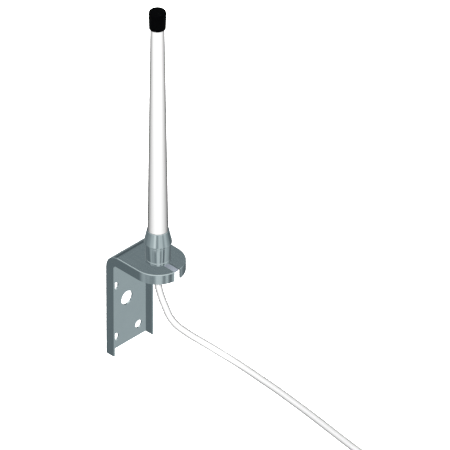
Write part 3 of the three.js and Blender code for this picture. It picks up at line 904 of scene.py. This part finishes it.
class Finish:
    """A Principled material with helpers for its procedural detail. Textures are in object space."""

    def __init__(self, name, colour, roughness, metallic=0.0):
        self.material = bpy.data.materials.new(name)
        self.material.use_nodes = True
        self.nodes = self.material.node_tree.nodes
        self.links = self.material.node_tree.links
        self.shader = self.nodes["Principled BSDF"]
        self.shader.inputs["Base Color"].default_value = (*colour, 1)
        self.shader.inputs["Roughness"].default_value = roughness
        self.shader.inputs["Metallic"].default_value = metallic
        self.colour = colour
        self.normal = None

    def set(self, name, value):
        self.shader.inputs[name].default_value = value

    def noise(self, scale, stretch=(1, 1, 1), detail=4, rough=0.55):
        """Noise whose grain is `scale` per metre, stretched by a factor on each axis."""
        place_node = self.nodes.new("ShaderNodeTexCoord")
        mapping = self.nodes.new("ShaderNodeMapping")
        mapping.inputs["Scale"].default_value = [scale * s for s in stretch]
        texture = self.nodes.new("ShaderNodeTexNoise")
        texture.inputs["Scale"].default_value = 1
        texture.inputs["Detail"].default_value = detail
        texture.inputs["Roughness"].default_value = rough
        self.links.new(place_node.outputs["Object"], mapping.inputs["Vector"])
        self.links.new(mapping.outputs["Vector"], texture.inputs["Vector"])
        return texture.outputs["Fac"]

    def spread(self, source, low, high, new_low, new_high):
        node = self.nodes.new("ShaderNodeMapRange")
        node.inputs["From Min"].default_value = low
        node.inputs["From Max"].default_value = high
        node.inputs["To Min"].default_value = new_low
        node.inputs["To Max"].default_value = new_high
        self.links.new(source, node.inputs["Value"])
        return node.outputs["Result"]

    def tint(self, source, other, low=0.35, high=0.65):
        """Mixes the base colour towards another, where the source is high."""
        mix = self.nodes.new("ShaderNodeMix")
        mix.data_type = "RGBA"
        current = self.shader.inputs["Base Color"]
        if current.is_linked:
            self.links.new(current.links[0].from_socket, mix.inputs[6])
        else:
            mix.inputs[6].default_value = (*self.colour, 1)
        mix.inputs[7].default_value = (*other, 1)
        self.links.new(self.spread(source, low, high, 0, 1), mix.inputs[0])
        self.links.new(mix.outputs[2], current)

    def vary_roughness(self, source, low, high):
        self.links.new(self.spread(source, 0.3, 0.7, low, high), self.shader.inputs["Roughness"])

    def bump(self, source, depth, strength=1.0):
        """Raises the surface by up to `depth` millimetres. Later bumps add to earlier ones."""
        node = self.nodes.new("ShaderNodeBump")
        node.inputs["Strength"].default_value = strength
        node.inputs["Distance"].default_value = depth * MM
        self.links.new(source, node.inputs["Height"])
        if self.normal is not None:
            self.links.new(self.normal, node.inputs["Normal"])
        self.normal = node.outputs["Normal"]
        self.links.new(self.normal, self.shader.inputs["Normal"])


def bracket_steel():
    finish = Finish("bracket_steel", (0.57, 0.66, 0.672), 0.15, 1.0)
    grain = finish.noise(900, (1, 0.03, 0.03), 3)
    mottle = finish.noise(60, (1, 1, 1), 4)
    finish.tint(mottle, (0.55, 0.64, 0.655), 0.35, 0.7)
    finish.vary_roughness(grain, 0.12, 0.19)
    finish.bump(grain, 0.003, 0.3)
    finish.bump(finish.noise(1400, (1, 1, 1), 2), 0.0015, 0.3)
    return finish.material


def base_steel():
    finish = Finish("base_steel", (0.57, 0.66, 0.672), 0.1, 1.0)
    turning = finish.noise(3200, (0.01, 0.01, 1), 2)
    finish.tint(finish.noise(140, (1, 1, 0.4), 3), (0.55, 0.64, 0.655), 0.4, 0.7)
    finish.vary_roughness(turning, 0.08, 0.13)
    finish.bump(turning, 0.002, 0.3)
    return finish.material


def fastener_steel():
    finish = Finish("fastener_steel", (0.66, 0.71, 0.8), 0.4, 1.0)
    patches = finish.noise(220, (1, 1, 1), 5)
    finish.tint(patches, (0.6, 0.66, 0.75), 0.42, 0.66)
    finish.vary_roughness(patches, 0.34, 0.48)
    finish.bump(finish.noise(1600), 0.005, 0.35)
    return finish.material


def clear_skin(finish, depth):
    """A thin clear skin that takes light away where it is seen at a slant. Lower is darker."""
    finish.set("Coat Weight", 1.0)
    finish.set("Coat IOR", 1.05)
    finish.set("Coat Roughness", 0.2)
    finish.set("Coat Tint", (depth, depth, depth, 1))


def radome_white():
    finish = Finish("radome_white", (0.8, 0.8, 0.797), 0.32)
    clear_skin(finish, 0.5)
    streaks = finish.noise(420, (1, 1, 0.04), 4)
    finish.tint(streaks, (0.785, 0.785, 0.78), 0.45, 0.75)
    finish.vary_roughness(streaks, 0.28, 0.4)
    finish.bump(streaks, 0.008, 0.25)
    finish.bump(finish.noise(900, (1, 1, 0.5), 3), 0.003, 0.3)
    return finish.material


def black_rubber():
    finish = Finish("black_rubber", (0.0003, 0.0003, 0.0004), 0.5)
    finish.set("Specular IOR Level", 0.02)
    skin = finish.noise(1500, (1, 1, 1), 4)
    finish.tint(finish.noise(200), (0.0005, 0.0005, 0.0006), 0.4, 0.7)
    finish.vary_roughness(skin, 0.42, 0.56)
    finish.bump(skin, 0.02, 0.4)
    return finish.material


def cable_jacket():
    finish = Finish("cable_jacket", (0.94, 0.94, 0.94), 0.38)
    clear_skin(finish, 0.42)
    drawn = finish.noise(500, (1, 1, 1), 3)
    finish.tint(drawn, (0.92, 0.92, 0.915), 0.45, 0.75)
    finish.vary_roughness(drawn, 0.34, 0.46)
    finish.bump(drawn, 0.01, 0.3)
    return finish.material


def tie_nylon():
    finish = Finish("tie_nylon", (0.012, 0.012, 0.013), 0.38)
    finish.tint(finish.noise(300), (0.02, 0.02, 0.021), 0.4, 0.7)
    skin = finish.noise(1200)
    finish.vary_roughness(skin, 0.3, 0.5)
    finish.bump(skin, 0.02, 0.3)
    return finish.material


def heat_shrink():
    finish = Finish("heat_shrink", (0.014, 0.014, 0.016), 0.45)
    wrinkles = finish.noise(350, (1, 1, 1), 3)
    finish.tint(wrinkles, (0.024, 0.024, 0.026), 0.4, 0.7)
    finish.vary_roughness(wrinkles, 0.38, 0.56)
    finish.bump(wrinkles, 0.05, 0.5)
    finish.bump(finish.noise(1800), 0.01, 0.3)
    return finish.material


def plug_metal():
    finish = Finish("plug_metal", (0.74, 0.72, 0.67), 0.18, 1.0)
    patches = finish.noise(400, (1, 1, 1), 3)
    finish.tint(patches, (0.68, 0.65, 0.6), 0.4, 0.7)
    finish.vary_roughness(patches, 0.15, 0.28)
    finish.bump(finish.noise(2600), 0.003, 0.35)
    return finish.material


def plain_detail(name, colour, other, roughness, metallic=0.0, scale=500, depth=0.01):
    """A simple finish with fine colour, gloss and surface variation, for the inner pieces."""
    finish = Finish(name, colour, roughness, metallic)
    patches = finish.noise(scale)
    finish.tint(patches, other, 0.4, 0.7)
    finish.vary_roughness(patches, roughness * 0.85, roughness * 1.2)
    finish.bump(finish.noise(scale * 3), depth, 0.4)
    return finish.material


def resin():
    finish = Finish("resin", (0.55, 0.38, 0.14), 0.2)
    finish.set("Coat Weight", 0.3)
    bubbles = finish.noise(700, (1, 1, 1), 2)
    finish.tint(bubbles, (0.66, 0.5, 0.22), 0.4, 0.7)
    finish.vary_roughness(bubbles, 0.15, 0.3)
    finish.bump(bubbles, 0.03, 0.4)
    return finish.material


def make_materials():
    return {
        "bracket_steel": bracket_steel(),
        "base_steel": base_steel(),
        "fastener_steel": fastener_steel(),
        "radome_white": radome_white(),
        "black_rubber": black_rubber(),
        "resin": resin(),
        "cable_jacket": cable_jacket(),
        "inner_plastic": plain_detail("inner_plastic", (0.86, 0.85, 0.82), (0.8, 0.79, 0.76), 0.45),
        "brass": plain_detail("brass", (0.7, 0.5, 0.22), (0.58, 0.4, 0.18), 0.3, 1.0, 600, 0.004),
        "copper_wire": plain_detail("copper_wire", (0.75, 0.38, 0.24), (0.6, 0.28, 0.17), 0.28, 1.0),
        "foam": plain_detail("foam", (0.82, 0.81, 0.76), (0.72, 0.71, 0.66), 0.85, 0.0, 1200, 0.15),
        "tie_nylon": tie_nylon(),
        "heat_shrink": heat_shrink(),
        "plug_metal": plug_metal(),
        "plug_gold": plain_detail("plug_gold", (0.9, 0.68, 0.28), (0.82, 0.6, 0.24), 0.2, 1.0),
        "silicone": plain_detail("silicone", (0.42, 0.05, 0.03), (0.34, 0.04, 0.025), 0.5),
    }


def dress(piece, material):
    piece.data.materials.clear()
    piece.data.materials.append(material)


# ---- Assembly ----

bracket = make_bracket()
TIE_ANGLE = math.radians(155)
ties = [
    make_tie("hank_tie_1", 0, TIE_ANGLE),
    make_tie("hank_tie_2", -HANK_STRAIGHT, TIE_ANGLE - math.pi),
]
plug_fixed = [make_boot(), make_crimp(), make_plug_body()]
coupling_nut = make_coupling_nut()
fixed = [
    bracket, *make_base(), make_radome(), make_cap(), make_stud(), make_flat_washer(),
    make_lock_washer(), make_nut(), make_strain_relief(), *ties, *plug_fixed, cable,
]
for piece in fixed:
    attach(piece, BODY)
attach(coupling_nut, NUT_BODY)

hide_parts("cable_run", "cable_hank", "cable_tail")
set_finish(cable, "cable_jacket")

materials = make_materials()
for piece in [*fixed, coupling_nut]:
    dress(piece, materials[piece["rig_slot"]])
for entry in frame["record"]["subparts"]:
    node = frame["nodes"][entry["node"]]
    if not node.hide_render:
        dress(node, materials[entry["material_slot"]])

# The pieces reflect the studio alone, and not each other.
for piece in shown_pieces():
    piece.visible_glossy = False


# ---- Floor, world and light ----

def make_floor():
    """A pale floor. Metal reflects the studio round it instead, so that it keeps its dark bands."""
    size = 12 / MM
    low = FLOOR - 0.02
    floor = mesh_object("floor", [(-size, -size, low), (size, -size, low), (size, size, low),
                                  (-size, size, low)], [(0, 1, 2, 3)])
    finish = Finish("floor", (0.9, 0.9, 0.9), 0.9)
    finish.set("Specular IOR Level", 0.0)
    finish.set("Emission Color", (1, 1, 1, 1))
    finish.set("Emission Strength", 1.0)
    dress(floor, finish.material)
    floor.visible_glossy = False
    floor.visible_diffuse = False


# Brightness of the studio as matt surfaces see it. The suns light them, and metal reflects the rows.
FILL = 0.2

# Brightness of the studio's panels, in rows from the floor up, at compass angles in degrees. Steep
# faces reflect the floor row, sloping ones the skirting, and level faces the walls and the ceiling.
FLOOR_ROW = [
    (0, 0.19), (20, 0.16), (50, 0.26), (84, 0.25), (103, 0.2), (117, 0.23), (130, 0.2), (141, 0.19),
    (153, 0.37), (160, 0.48), (168, 0.48), (177, 0.37), (185, 0.44), (195, 0.33), (207, 0.31),
    (213, 0.46), (219, 0.75), (239, 0.74), (247, 0.3), (252, 0.25), (258, 0.53), (264, 0.78),
    (268, 0.46), (274, 0.16), (281, 0.19), (288, 0.5), (293, 0.64), (312, 0.52), (332, 0.44),
    (345, 0.27), (354, 0.21), (360, 0.19),
]
SKIRTING_ROW = [
    (0, 0.24), (30, 0.31), (75, 0.33), (90, 0.26), (117, 0.25), (132, 0.33), (154, 0.4), (168, 0.57),
    (187, 0.67), (194, 0.87), (200, 1.0), (206, 0.98), (211, 0.53), (216, 0.4), (222, 0.41), (229, 0.63),
    (238, 0.78), (249, 0.7), (256, 0.75), (263, 0.61), (271, 0.4), (279, 0.56), (287, 0.69),
    (296, 0.66), (308, 0.46), (318, 0.4), (330, 0.27), (340, 0.17), (350, 0.18), (360, 0.24),
]
LOW_WALL_ROW = [
    (0, 0.25), (30, 0.14), (45, 0.12), (75, 0.12), (90, 0.3), (130, 0.6), (225, 0.9), (320, 0.6),
    (350, 0.3), (360, 0.25),
]
HIGH_WALL_ROW = [
    (0, 0.27), (85, 0.27), (150, 0.3), (185, 0.8), (225, 1.0), (265, 0.8), (320, 0.6), (350, 0.3),
    (360, 0.27),
]
CEILING_ROW = [(0, 1.0), (360, 1.0)]

# The rows, each with the heights between which it takes over from the one below, in degrees.
ROWS = [
    (FLOOR_ROW, None), (SKIRTING_ROW, (-31, -24)), (LOW_WALL_ROW, (-4, 10)),
    (HIGH_WALL_ROW, (21, 27)), (CEILING_ROW, (40, 48)),
]


def panel_colour(value):
    """A panel's light, a little cooler where it is dimmer."""
    return (value ** 1.08, value, value ** 0.96, 1)


def make_world():
    world = bpy.data.worlds.new("studio")
    bpy.context.scene.world = world
    world.use_nodes = True
    nodes = world.node_tree.nodes
    links = world.node_tree.links
    nodes.clear()

    def math_node(operation, first, second=None):
        node = nodes.new("ShaderNodeMath")
        node.operation = operation
        for socket, value in zip(node.inputs, (first, second)):
            if value is None:
                continue
            if isinstance(value, (int, float)):
                socket.default_value = value
            else:
                links.new(value, socket)
        return node.outputs[0]

    def bands(compass, stops):
        node = nodes.new("ShaderNodeValToRGB")
        ramp = node.color_ramp
        while len(ramp.elements) > 1:
            ramp.elements.remove(ramp.elements[-1])
        ramp.elements[0].position = 0
        ramp.elements[0].color = panel_colour(stops[0][1])
        for angle, value in stops[1:]:
            element = ramp.elements.new(angle / 360)
            element.color = panel_colour(value)
        links.new(compass, node.inputs["Fac"])
        return node.outputs["Color"]

    def mix(factor, first, second):
        node = nodes.new("ShaderNodeMix")
        node.data_type = "RGBA"
        links.new(factor, node.inputs[0])
        for socket, value in ((node.inputs[6], first), (node.inputs[7], second)):
            if isinstance(value, tuple):
                socket.default_value = value
            else:
                links.new(value, socket)
        return node.outputs[2]

    place_node = nodes.new("ShaderNodeTexCoord")
    split = nodes.new("ShaderNodeSeparateXYZ")
    links.new(place_node.outputs["Generated"], split.inputs[0])
    turn = math_node("ARCTAN2", split.outputs["Y"], split.outputs["X"])
    compass = math_node("FRACT", math_node("ADD", math_node("DIVIDE", turn, 2 * math.pi), 1.0))
    studio = bands(compass, FLOOR_ROW)
    for stops, heights in ROWS[1:]:
        low, high = (math.sin(math.radians(height)) for height in heights)
        rise = nodes.new("ShaderNodeMapRange")
        rise.interpolation_type = "SMOOTHSTEP"
        rise.inputs["From Min"].default_value = low
        rise.inputs["From Max"].default_value = high
        links.new(split.outputs["Z"], rise.inputs["Value"])
        studio = mix(rise.outputs["Result"], studio, bands(compass, stops))
    ray = nodes.new("ShaderNodeLightPath")
    lit = mix(ray.outputs["Is Diffuse Ray"], studio, (FILL, FILL, FILL, 1))
    shown = mix(ray.outputs["Is Camera Ray"], lit, (1, 1, 1, 1))
    background = nodes.new("ShaderNodeBackground")
    output = nodes.new("ShaderNodeOutputWorld")
    links.new(shown, background.inputs["Color"])
    links.new(background.outputs[0], output.inputs["Surface"])
    world.cycles.sampling_method = "NONE"


def make_sun(name, direction, strength, softness):
    """A distant light that shines from the given direction, `softness` degrees across."""
    data = bpy.data.lights.new(name, "SUN")
    data.energy = strength
    data.angle = math.radians(softness)
    light = bpy.data.objects.new(name, data)
    light.rotation_euler = Vector(direction).to_track_quat("Z", "Y").to_euler()
    light.visible_glossy = False
    bpy.context.scene.collection.objects.link(light)


make_floor()
make_world()
make_sun("key", (-1, -1, 1), strength=12.6, softness=6)
make_sun("back", (1, 1, 0.15), strength=7.5, softness=40)
bpy.context.scene.view_settings.view_transform = "Standard"
